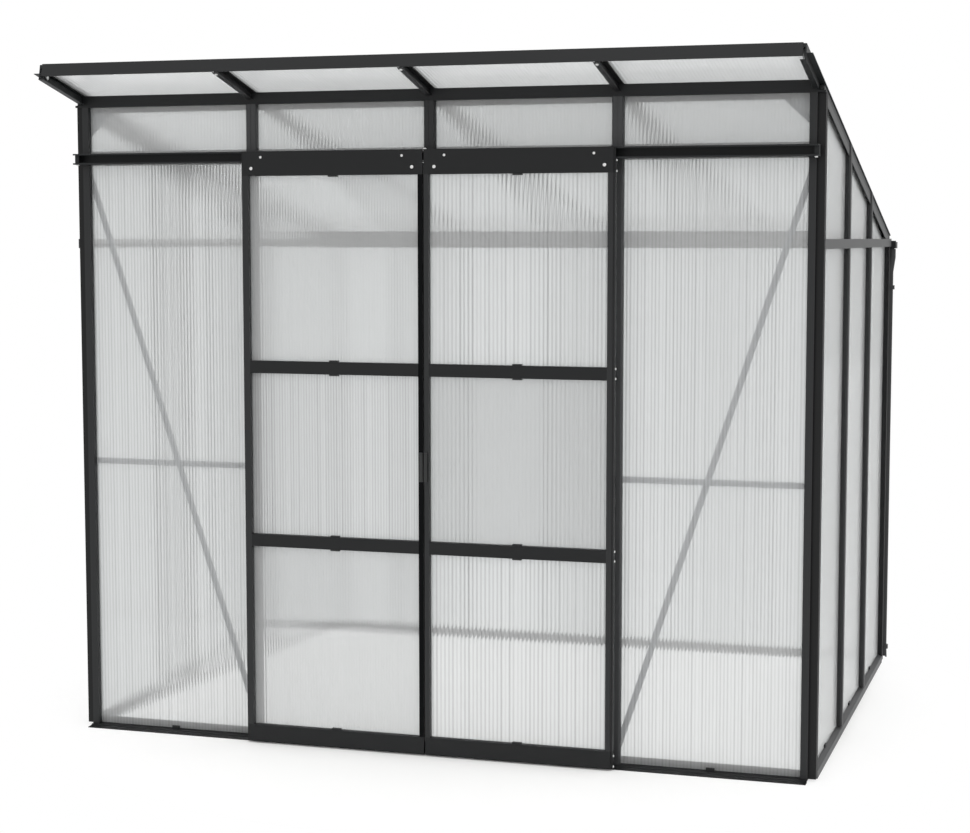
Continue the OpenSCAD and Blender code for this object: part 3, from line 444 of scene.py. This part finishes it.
def sheetTree():
    # One sheet standing in the x z plane from the origin: its skins bow out between the ribs
    tree, given, result = geometryTree("fluted sheet", {
        "Width": "Float", "Height": "Float", "Thickness": "Float", "Flutes": "Int", "Steps": "Int",
        "Bow": "Float", "Edge Height": "Float", "Fall": "Float",
        "Streaks": "Float", "Tone": "Float", "Milk": "Float", "Start": "Float",
        "Material": "Material",
    })
    columns = addNode(tree, "ShaderNodeMath", {
        0: given["Flutes"], 1: given["Steps"],
    }, operation="MULTIPLY")
    corners = addNode(tree, "ShaderNodeMath", {0: columns.outputs[0], 1: 1.0}, operation="ADD")
    size = addNode(tree, "ShaderNodeCombineXYZ", {
        "X": given["Width"], "Y": given["Thickness"], "Z": given["Height"],
    })
    block = addNode(tree, "GeometryNodeMeshCube", {
        "Size": size.outputs[0], "Vertices X": corners.outputs[0], "Vertices Y": 2, "Vertices Z": 2,
    })
    middle = addNode(tree, "ShaderNodeVectorMath", {
        0: size.outputs[0], 1: (0.5, 0.5, 0.5),
    }, operation="MULTIPLY")
    moved = addNode(tree, "GeometryNodeTransform", {
        "Geometry": block.outputs["Mesh"], "Translation": middle.outputs[0],
    })
    place = addNode(tree, "ShaderNodeSeparateXYZ", {
        0: addNode(tree, "GeometryNodeInputPosition").outputs[0],
    })
    # squared is 0 in the middle of a flute and 1 at its ribs, where the skins stand furthest in
    share = addNode(tree, "ShaderNodeMath", {
        0: place.outputs["X"], 1: given["Width"],
    }, operation="DIVIDE")
    turn = addNode(tree, "ShaderNodeMath", {
        0: share.outputs[0], 1: given["Flutes"],
    }, operation="MULTIPLY")
    within = addNode(tree, "ShaderNodeMath", {
        0: turn.outputs[0], 1: 1.0,
    }, operation="FLOORED_MODULO")
    offset = addNode(tree, "ShaderNodeMath", {
        0: within.outputs[0], 1: 2.0, 2: -1.0,
    }, operation="MULTIPLY_ADD")
    squared = addNode(tree, "ShaderNodeMath", {0: offset.outputs[0], 1: 2.0}, operation="POWER")
    inwards = addNode(tree, "ShaderNodeMath", {
        0: squared.outputs[0], 1: given["Bow"],
    }, operation="MULTIPLY")
    half = addNode(tree, "ShaderNodeMath", {0: given["Thickness"], 1: 0.5}, operation="MULTIPLY")
    behind = addNode(tree, "ShaderNodeMath", {
        0: half.outputs[0], 1: place.outputs["Y"],
    }, operation="SUBTRACT")
    side = addNode(tree, "ShaderNodeMath", {0: behind.outputs[0]}, operation="SIGN")
    push = addNode(tree, "ShaderNodeMath", {
        0: inwards.outputs[0], 1: side.outputs[0],
    }, operation="MULTIPLY")
    # the top edge follows the roof where that is lower
    line = addNode(tree, "ShaderNodeMath", {
        0: place.outputs["X"], 1: given["Fall"], 2: given["Edge Height"],
    }, operation="MULTIPLY_ADD")
    lower = addNode(tree, "ShaderNodeMath", {
        0: place.outputs["Z"], 1: line.outputs[0],
    }, operation="MINIMUM")
    top = addNode(tree, "ShaderNodeMath", {0: lower.outputs[0], 1: 0.0}, operation="MAXIMUM")
    bowed = addNode(tree, "ShaderNodeMath", {
        0: place.outputs["Y"], 1: push.outputs[0],
    }, operation="ADD")
    target = addNode(tree, "ShaderNodeCombineXYZ", {
        "X": place.outputs["X"], "Y": bowed.outputs[0], "Z": top.outputs[0],
    })
    run = addNode(tree, "ShaderNodeMath", {
        0: place.outputs["X"], 1: given["Start"],
    }, operation="ADD")
    marked = moved
    for attributeName, value in (
        ("rib", squared.outputs[0]), ("streaks", given["Streaks"]), ("tone", given["Tone"]),
        ("milk", given["Milk"]), ("across", run.outputs[0]),
    ):
        marked = addNode(tree, "GeometryNodeStoreNamedAttribute", {
            "Geometry": marked.outputs[0], "Name": attributeName, "Value": value,
        }, data_type="FLOAT", domain="POINT")
    shaped = addNode(tree, "GeometryNodeSetPosition", {
        "Geometry": marked.outputs[0], "Position": target.outputs[0],
    })
    welded = addNode(tree, "GeometryNodeMergeByDistance", {
        "Geometry": shaped.outputs[0], "Distance": weldGap,
    })
    # the skins, which face y, are shaded smooth
    normal = addNode(tree, "ShaderNodeSeparateXYZ", {
        0: addNode(tree, "GeometryNodeInputNormal").outputs[0],
    })
    facing = addNode(tree, "ShaderNodeMath", {0: normal.outputs["Y"]}, operation="ABSOLUTE")
    skin = addNode(tree, "ShaderNodeMath", {0: facing.outputs[0], 1: 0.5}, operation="GREATER_THAN")
    smooth = addNode(tree, "GeometryNodeSetShadeSmooth", {
        "Geometry": welded.outputs[0], "Shade Smooth": skin.outputs[0],
    })
    # the rim stays sharp, or the skins would shade as if they bent over it
    angle = addNode(tree, "GeometryNodeInputMeshEdgeAngle")
    shallow = addNode(tree, "ShaderNodeMath", {
        0: angle.outputs[0], 1: radians(flutes["rimAngle"]),
    }, operation="LESS_THAN")
    sharp = addNode(tree, "GeometryNodeSetShadeSmooth", {
        "Geometry": smooth.outputs[0], "Shade Smooth": shallow.outputs[0],
    }, domain="EDGE")
    single = addNode(tree, "GeometryNodeRealizeInstances", {"Geometry": sharp.outputs[0]})
    painted = addNode(tree, "GeometryNodeSetMaterial", {
        "Geometry": single.outputs[0], "Material": given["Material"],
    })
    tree.links.new(painted.outputs[0], result[0])
    return tree


flutedSheet = sheetTree()

roof = {
    "sheet": 6,          # mm
    "pitch": 13.45,      # degrees
}
roofLow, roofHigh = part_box("roof_panes")
roofPitch = radians(roof["pitch"])
roofFall = tan(roofPitch)
roofSheet = roof["sheet"] * millimetre

streaks = {
    # how plainly the ribs of each sheet show, from low to high and from left to right
    "front_panes": (0.8, 0.8),
    "transom_panes": (0.05,),
    "door_left_panes": (0.1, 0.9, 0.1),
    "door_right_panes": (0.85, 0.08, 0.8),
    "roof_panes": (0.1,),
    "others": (0.0,),
}
tones = {
    # how much light each sheet passes, each sheet painted lighter or darker to how bright it looks:
    # painted light and shade
    "front_panes": (1.01, 1.03),
    "transom_panes": (0.97, 0.94, 0.91, 0.91),
    "door_left_panes": (0.92, 0.99, 0.965),
    "door_right_panes": (1.02, 0.89, 1.03),
    "roof_panes": (0.98, 0.935, 0.945, 0.91),
    "side_panes_left": (0.96,),
    "side_panes_right": (0.92,),
    "others": (0.96,),
}
milks = {
    # how much milkier than the rest each sheet is
    "front_panes": (0.04, 0.02),
    "transom_panes": (0.09,),
    "others": (0.0,),
}
pitchOf = {"door_right_panes": "doorPitch", "door_left_panes": "finePitch"}


def sheetValue(table, nodeName, index):
    values = table.get(nodeName, table["others"])
    return values[index % len(values)]


def makeSheet(nodeName, index, width, height, thickness, place, material,
              edgeHeight=None, fall=0.0):
    pitch = flutes[pitchOf.get(nodeName, "pitch")] * millimetre
    piece = runTree(flutedSheet, f"sheet {index}", {
        "Width": width,
        "Height": height,
        "Thickness": thickness,
        "Flutes": max(1, round(width / pitch)),
        "Steps": flutes["steps"],
        "Bow": flutes["wallDepth" if nodeName == "front_panes" else "depth"] * millimetre,
        "Edge Height": height if edgeHeight is None else edgeHeight,
        "Fall": fall,
        "Streaks": sheetValue(streaks, nodeName, index),
        "Tone": sheetValue(tones, nodeName, index),
        "Milk": sheetValue(milks, nodeName, index),
        "Start": index * flutes["shift"],
        "Material": material,
    })
    piece.data.transform(place)
    return piece


def takePlace(pieces, nodeName, body):
    # The sheets as one piece that stands in for their CAD node
    whole = joined(pieces, nodeName + "_fluted")
    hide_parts(nodeName)
    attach(whole, body)


def uprightSheets(nodeName, body, material):
    # Upright sheets of one node, on a wall along x or along y
    pieces = []
    boxes = sorted(solidBoxes(nodeName), key=lambda box: (round(box[0].z, 2), box[0].x))
    alongY = (boxes[0][1] - boxes[0][0]).x < flutes["thinnest"] * millimetre
    highest = max(box[1].z for box in boxes)
    front = min(box[0].y for box in boxes)
    for index, (low, high) in enumerate(boxes):
        size = high - low
        if alongY:
            place = Matrix.Translation((high.x, low.y, low.z)) @ Matrix.Rotation(pi / 2, 4, "Z")
            pieces.append(makeSheet(
                nodeName, index, size.y, size.z, size.x, place, material,
                highest - roofFall * (low.y - front) - low.z, -roofFall,
            ))
        else:
            place = Matrix.Translation(low)
            pieces.append(makeSheet(nodeName, index, size.x, size.z, size.y, place, material))
    takePlace(pieces, nodeName, body)


def slopingSheets(nodeName, body, material):
    # Sheets of the roof, lying on its slope
    length = (roofHigh.y - roofLow.y - roofSheet * sin(roofPitch)) / cos(roofPitch)
    pieces = []
    for index, (start, end) in enumerate(solidBoxes(nodeName)):
        # the sheet's x runs across, its z down the slope and its y out of the roof
        place = (
            Matrix.Translation((start.x, roofLow.y, roofHigh.z - roofSheet * cos(roofPitch)))
            @ Matrix.Rotation(-roofPitch, 4, "X")
            @ Matrix(((1, 0, 0, 0), (0, 0, 1, 0), (0, 1, 0, 0), (0, 0, 0, 1)))
        )
        piece = makeSheet(nodeName, index, end.x - start.x, length, roofSheet, place, material)
        piece.data.flip_normals()
        pieces.append(piece)
    takePlace(pieces, nodeName, body)


for nodeName in (
    "front_panes", "transom_panes", "side_panes_left", "side_panes_right", "back_panes",
):
    uprightSheets(nodeName, "frame", wallSheet)
slopingSheets("roof_panes", "frame", wallSheet)
for doorName in ("door_left", "door_right"):
    uprightSheets(doorName + "_panes", doorName, wallSheet)
print("sheets done")


def lathed(name, outline, segments):
    # Closed shape turned about z from points (radius, height), the first and last on the axis
    shape = bmesh.new()
    rings = []
    for radius, height in outline:
        if radius == 0:
            rings.append([shape.verts.new((0, 0, height))])
        else:
            turns = [2 * pi * i / segments for i in range(segments)]
            rings.append([
                shape.verts.new((radius * cos(turn), radius * sin(turn), height)) for turn in turns
            ])
    for lower, upper in zip(rings, rings[1:]):
        for i in range(segments):
            j = (i + 1) % segments
            if len(lower) == 1:
                shape.faces.new((lower[0], upper[j], upper[i]))
            elif len(upper) == 1:
                shape.faces.new((lower[i], lower[j], upper[0]))
            else:
                shape.faces.new((lower[i], lower[j], upper[j], upper[i]))
    mesh = bpy.data.meshes.new(name)
    shape.to_mesh(mesh)
    shape.free()
    return bpy.data.objects.new(name, mesh)


def domeOutline(radius, height, steps=4, rimShare=0.3):
    # Flat underside, short straight rim and a domed top
    rim = height * rimShare
    arc = [
        (radius * cos(pi / 2 * i / steps), rim + (height - rim) * sin(pi / 2 * i / steps))
        for i in range(steps)
    ]
    return [(0, 0), (radius, 0)] + arc + [(0, height)]


def hexOutline(radius, height, sideShare=0.75, topShare=0.8):
    # Flat underside, straight sides and a narrower flat top
    side, top = height * sideShare, radius * topShare
    return [(0, 0), (radius, 0), (radius, side), (top, height), (0, height)]


def edgedBlock(name, length, reach, thick, rounding):
    # Small block with softened edges: x along, y from the edge that it grips, z outwards
    shape = bmesh.new()
    bmesh.ops.create_cube(shape, size=1.0)
    for vert in shape.verts:
        vert.co = Vector((vert.co.x * length, (vert.co.y + 0.5) * reach, (vert.co.z + 0.5) * thick))
    bmesh.ops.bevel(shape, geom=list(shape.edges), offset=rounding, segments=2, affect="EDGES")
    mesh = bpy.data.meshes.new(name)
    shape.to_mesh(mesh)
    shape.free()
    return bpy.data.objects.new(name, mesh)


def fixingsTree():
    # Puts a pattern on every point, its z along "facing" and its x along "along"
    tree, given, result = geometryTree("fixings", {
        "Points": "Geometry", "Pattern": "Object", "Material": "Material",
    })
    pattern = addNode(tree, "GeometryNodeObjectInfo", {"Object": given["Pattern"]})
    facing, along = [
        addNode(tree, "GeometryNodeInputNamedAttribute", {"Name": part}, data_type="FLOAT_VECTOR")
        for part in ("facing", "along")
    ]
    stand = addNode(tree, "FunctionNodeAlignRotationToVector", {
        "Vector": facing.outputs["Attribute"],
    }, axis="Z")
    spin = addNode(tree, "FunctionNodeAlignRotationToVector", {
        "Rotation": stand.outputs[0], "Vector": along.outputs["Attribute"],
    }, axis="X", pivot_axis="Z")
    points = addNode(tree, "GeometryNodeMeshToPoints", {"Mesh": given["Points"]})
    placed = addNode(tree, "GeometryNodeInstanceOnPoints", {
        "Points": points.outputs[0],
        "Instance": pattern.outputs["Geometry"],
        "Rotation": spin.outputs[0],
    })
    single = addNode(tree, "GeometryNodeRealizeInstances", {"Geometry": placed.outputs[0]})
    painted = addNode(tree, "GeometryNodeSetMaterial", {
        "Geometry": single.outputs[0], "Material": given["Material"],
    })
    tree.links.new(painted.outputs[0], result[0])
    return tree


fixings = fixingsTree()


def placeFixings(name, body, pattern, places, material):
    # One fixing at each place, which is (point, facing, along)
    base = bpy.data.meshes.new(name)
    base.from_pydata([p[0] for p in places], [], [])
    for attributeName, index in (("facing", 1), ("along", 2)):
        attribute = base.attributes.new(attributeName, "FLOAT_VECTOR", "POINT")
        for value, entry in zip(attribute.data, places):
            value.vector = entry[index]
    piece = runTree(fixings, name, {"Pattern": pattern, "Material": material}, base)
    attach(piece, body)


fixingSizes = {
    # mm
    "boltRadius": 5.7, "boltHeight": 3.0,             # door bolts
    "axleRadius": 4.4, "axleHeight": 2.4,             # bolts of the roller axles
    "screwRadius": 4.2, "screwHeight": 3.6,           # pan-head screws in the doors' edges
    "trackRadius": 5.5, "trackHeight": 5.0,           # bolts of the track and roof bars
    "flatHeight": 1.8,                                # flatter heads on the gussets
    "edgeRadius": 8.0, "edgeHeight": 6.5,             # bolts of the roof's edge bars
    "hexRadius": 7.5, "hexHeight": 5.0,               # nuts at the tops of the posts
    "clipLength": 31, "clipReach": 5, "clipThick": 13,                 # sheet clips of the doors
    "baseClipLength": 28, "baseClipReach": 10, "baseClipThick": 5,     # sheet clips along the base
    "clipRounding": 0.8,
}


def sizes(*names):
    return [fixingSizes[name] * millimetre for name in names]


boardBolt = lathed("bolt head", domeOutline(*sizes("boltRadius", "boltHeight")), segments=20)
axleBolt = lathed("axle bolt head", domeOutline(*sizes("axleRadius", "axleHeight")), segments=18)
screw = lathed("screw head", domeOutline(*sizes("screwRadius", "screwHeight")), segments=14)
trackBolt = lathed("track bolt", domeOutline(*sizes("trackRadius", "trackHeight")), segments=20)
edgeBolt = lathed("edge bolt", domeOutline(*sizes("edgeRadius", "edgeHeight")), segments=20)
flatBolt = lathed("flat bolt head", domeOutline(*sizes("trackRadius", "flatHeight")), segments=20)
hexNut = lathed("hexagon head", hexOutline(*sizes("hexRadius", "hexHeight")), segments=6)
doorClip = edgedBlock("door sheet clip", *sizes(
    "clipLength", "clipReach", "clipThick", "clipRounding"))
baseClip = edgedBlock("base sheet clip", *sizes(
    "baseClipLength", "baseClipReach", "baseClipThick", "clipRounding"))

rightwards, inwards, upwards = Vector((1, 0, 0)), Vector((0, 1, 0)), Vector((0, 0, 1))
outwards, downwards = -inwards, -upwards

doorFixings = {
    "lowerIn": 35, "lowerDrop": 56,       # mm from the board's ends and top
    "screwEdge": 5, "screwGap": 34,       # mm from a rail's edges, and apart
    "screwStep": 14,                      # mm from the front
}
lowerIn, lowerDrop, screwEdge, screwGap, screwStep = [
    doorFixings[part] * millimetre
    for part in ("lowerIn", "lowerDrop", "screwEdge", "screwGap", "screwStep")
]
for doorName, side in (("door_left", -1), ("door_right", 1)):
    rails = sorted(solidBoxes(doorName + "_rails"), key=lambda box: box[0].z)
    boardLow, boardHigh = rails[-1]
    places = [
        (((low.x + high.x) / 2, boardLow.y, (low.z + high.z) / 2), outwards, rightwards)
        for low, high in solidBoxes(doorName + "_rollers")
    ]
    placeFixings(doorName + "_axle_bolts", doorName, axleBolt, places, zinc)
    places = [
        ((x, boardLow.y, boardHigh.z - lowerDrop), outwards, rightwards)
        for x in (boardLow.x + lowerIn, boardHigh.x - lowerIn)
    ]
    placeFixings(doorName + "_board_bolts", doorName, boardBolt, places, zinc)

    stilesLow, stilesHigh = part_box(doorName + "_stiles")
    outerX = stilesHigh.x if side > 0 else stilesLow.x
    places = [
        ((outerX, boardLow.y + screwStep, z), Vector((side, 0, 0)), upwards)
        for low, high in rails
        for z in (low.z + screwEdge, min(low.z + screwEdge + screwGap, high.z - screwEdge))
    ]
    placeFixings(doorName + "_screws", doorName, screw, places, zinc)

for doorName in ("door_left", "door_right"):
    rails = sorted(solidBoxes(doorName + "_rails"), key=lambda box: box[0].z)
    panesLow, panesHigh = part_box(doorName + "_panes")
    middle = (panesLow.x + panesHigh.x) / 2
    places = [((middle, panesLow.y, high.z), outwards, rightwards) for low, high in rails[:-1]]
    places += [((middle, panesLow.y, low.z), outwards, -rightwards) for low, high in rails[1:]]
    placeFixings(doorName + "_sheet_clips", doorName, doorClip, places, blackNylon)

baseClips = {"frontDrop": 24}    # mm from the top of the front rail
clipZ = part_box("base_front")[1].z - baseClips["frontDrop"] * millimetre
places = [
    (((low.x + high.x) / 2, low.y, clipZ), outwards, rightwards)
    for low, high in solidBoxes("front_panes")
]
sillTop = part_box("base_sides")[1].z
for nodeName, side in (("side_panes_left", -1), ("side_panes_right", 1)):
    for low, high in solidBoxes(nodeName):
        if low.z < sillTop:
            point = (high.x if side > 0 else low.x, (low.y + high.y) / 2, sillTop)
            places.append((point, Vector((side, 0, 0)), Vector((0, side, 0))))
placeFixings("base_sheet_clips", "frame", baseClip, places, blackNylon)

frameFixings = {
    # mm: where the bolts of the frame sit, measured from the piece that carries them
    "trackEndIn": 9, "trackEndBack": 18,
    "trackTopBack": 8, "trackFaceDrop": 7,
    "roofBoltBack": 8, "roofBoltDrop": 24.6,
    "edgeBoltBack": 40, "edgeBoltDrop": 12, "edgeLine": 6,
    "gussetBolts": ((65, 21), (28, 50)),     # in from the post and down from the top
    "nutOut": 10, "nutBack": 12, "nutDrop": 2.9, "nutDown": 22.5,
}
trackEndIn, trackEndBack, trackTopBack, trackFaceDrop = [
    frameFixings[part] * millimetre
    for part in ("trackEndIn", "trackEndBack", "trackTopBack", "trackFaceDrop")
]
trackLow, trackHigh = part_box("door_track")
underRoof = Vector((0, -sin(roofPitch), -cos(roofPitch)))
upRoof = Vector((0, -cos(roofPitch), sin(roofPitch)))


def belowRoof(back, drop):
    # height of a point that is so far back from the roof's front edge and below its sheets
    return roofHigh.z - roofSheet * cos(roofPitch) - roofFall * back - drop


places = []
for side in (-1, 1):
    point = (side * (trackHigh.x - trackEndIn), trackLow.y + trackEndBack, trackLow.z)
    places.append((point, downwards, rightwards))
places.append(((0, trackLow.y + trackTopBack, trackHigh.z), upwards, rightwards))
back, drop = [frameFixings[part] * millimetre for part in ("roofBoltBack", "roofBoltDrop")]
for low, high in solidBoxes("roof_bars"):
    point = ((low.x + high.x) / 2, roofLow.y + back, belowRoof(back, drop))
    places.append((point, underRoof, rightwards))
placeFixings("frame_bolts", "frame", trackBolt, places, zinc)

back, drop = [frameFixings[part] * millimetre for part in ("edgeBoltBack", "edgeBoltDrop")]
edgeX = roofHigh.x + frameFixings["edgeLine"] * millimetre
places = [
    ((side * edgeX, roofLow.y + back, belowRoof(back, drop)), Vector((-side, 0, 0)), inwards)
    for side in (-1, 1)
]
placeFixings("edge_bolts", "frame", edgeBolt, places, zinc)

places = [((0, trackLow.y, trackHigh.z - trackFaceDrop), outwards, rightwards)]
for low, high in solidBoxes("gussets"):
    side = 1 if high.x > 0 else -1
    outer = high.x if side > 0 else low.x
    for acrossIn, drop in frameFixings["gussetBolts"]:
        point = (outer - side * acrossIn * millimetre, low.y, high.z - drop * millimetre)
        places.append((point, outwards, rightwards))
placeFixings("gusset_bolts", "frame", flatBolt, places, zinc)

nutOut, nutBack, nutDrop, nutDown = [
    frameFixings[part] * millimetre for part in ("nutOut", "nutBack", "nutDrop", "nutDown")
]
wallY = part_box("door_jambs")[0].y
places = []
for side in (-1, 1):
    boxEnd = Vector((
        side * (edgeX + nutOut), wallY + nutBack, belowRoof(wallY - roofLow.y, nutDrop),
    ))
    places.append((boxEnd + underRoof * nutDown, upRoof, rightwards))
placeFixings("post_bolts", "frame", hexNut, places, blackNylon)
print("fixings done")


studio = {
    "floorColour": "#fafaf9",
    "fadeFrom": 1.0, "fadeTo": 1.8,   # m from the middle, where the floor turns white
    "skyLight": 1.0,                  # what lights the building
    "mirrorLight": 0.82,              # what its paint mirrors
    "size": 40,                       # m
}


def seenDirectly(tree, mirrored=False):
    # 1 for rays that show the background: from the camera, through sheets and, if asked, off
    # paint and metal
    path = addNode(tree, "ShaderNodeLightPath")
    shown = addNode(tree, "ShaderNodeMath", {
        0: path.outputs["Is Camera Ray"], 1: path.outputs["Is Transmission Ray"],
    }, operation="MAXIMUM").outputs[0]
    if mirrored:
        shown = addNode(tree, "ShaderNodeMath", {
            0: shown, 1: path.outputs["Is Glossy Ray"],
        }, operation="MAXIMUM").outputs[0]
    return shown


def studioFloor():
    # Matt pale floor that turns into the white background away from the building
    material, tree = newMaterial("matt studio floor")
    place = addNode(tree, "ShaderNodeTexCoord").outputs["Object"]
    distance = addNode(tree, "ShaderNodeVectorMath", {0: place}, operation="LENGTH")
    fade = addNode(tree, "ShaderNodeMapRange", {
        "Value": distance.outputs["Value"],
        "From Min": studio["fadeFrom"],
        "From Max": studio["fadeTo"],
    }, interpolation_type="SMOOTHSTEP")
    shown = addNode(tree, "ShaderNodeMath", {
        0: fade.outputs[0], 1: seenDirectly(tree, mirrored=True),
    }, operation="MULTIPLY")
    matt = addNode(tree, "ShaderNodeBsdfDiffuse", {"Color": linear(studio["floorColour"])})
    white = addNode(tree, "ShaderNodeEmission", {"Color": (1, 1, 1, 1), "Strength": 1.0})
    mix = addNode(tree, "ShaderNodeMixShader", {
        0: shown.outputs[0], 1: matt.outputs[0], 2: white.outputs[0],
    })
    addNode(tree, "ShaderNodeOutputMaterial", {"Surface": mix.outputs[0]})
    return material


floorMesh = bpy.data.meshes.new("floor")
reach = studio["size"] / 2
corners = [(-reach, -reach, 0), (reach, -reach, 0), (reach, reach, 0), (-reach, reach, 0)]
floorMesh.from_pydata(corners, [], [(0, 1, 2, 3)])
floorMesh.materials.append(studioFloor())
floor = bpy.data.objects.new("floor", floorMesh)
bpy.context.scene.collection.objects.link(floor)

world = bpy.data.worlds.new("studio")
bpy.context.scene.world = world
world.use_nodes = True
worldTree = world.node_tree
worldTree.nodes.clear()
worldPath = addNode(worldTree, "ShaderNodeLightPath")
sky, mirrored, white = [
    addNode(worldTree, "ShaderNodeBackground", {"Color": (1, 1, 1, 1), "Strength": strength})
    for strength in (studio["skyLight"], studio["mirrorLight"], 1.0)
]
around = addNode(worldTree, "ShaderNodeMixShader", {
    0: worldPath.outputs["Is Glossy Ray"], 1: sky.outputs[0], 2: mirrored.outputs[0],
})
mixed = addNode(worldTree, "ShaderNodeMixShader", {
    0: seenDirectly(worldTree), 1: around.outputs[0], 2: white.outputs[0],
})
addNode(worldTree, "ShaderNodeOutputWorld", {"Surface": mixed.outputs[0]})


def towards(azimuth, elevation):
    # way to a lamp or camera: azimuth 0 is in front, 90 to the right
    turn, lift = radians(azimuth), radians(elevation)
    return Vector((sin(turn) * cos(lift), -cos(turn) * cos(lift), sin(lift)))


keyLight = {
    "azimuth": 50,       # degrees
    "elevation": 45,
    "spread": 80,        # degrees, wide enough for soft shadows
    "strength": 1.0,
}
sun = bpy.data.lights.new("key light", "SUN")
sun.energy = keyLight["strength"]
sun.angle = radians(keyLight["spread"])
sunObject = bpy.data.objects.new("key light", sun)
sunWay = towards(keyLight["azimuth"], keyLight["elevation"])
sunObject.rotation_euler = sunWay.to_track_quat("Z", "Y").to_euler()
bpy.context.scene.collection.objects.link(sunObject)

cameraSettings = {
    "position": (2.1154, -6.9883, 1.6940),    # m
    "azimuth": 17.295,                        # degrees
    "elevation": 5.329,
    "lens": 74.33,                            # mm
    "shift": (-0.0045, 0.0078),
}
camera = bpy.data.cameras.new("camera")
camera.lens = cameraSettings["lens"]
camera.shift_x, camera.shift_y = cameraSettings["shift"]
cameraObject = bpy.data.objects.new("camera", camera)
cameraWay = towards(cameraSettings["azimuth"], cameraSettings["elevation"])
cameraObject.location = cameraSettings["position"]
cameraObject.rotation_euler = cameraWay.to_track_quat("Z", "Y").to_euler()
bpy.context.scene.collection.objects.link(cameraObject)
bpy.context.scene.camera = cameraObject
bpy.context.scene.view_settings.view_transform = "Standard"
print("studio done")
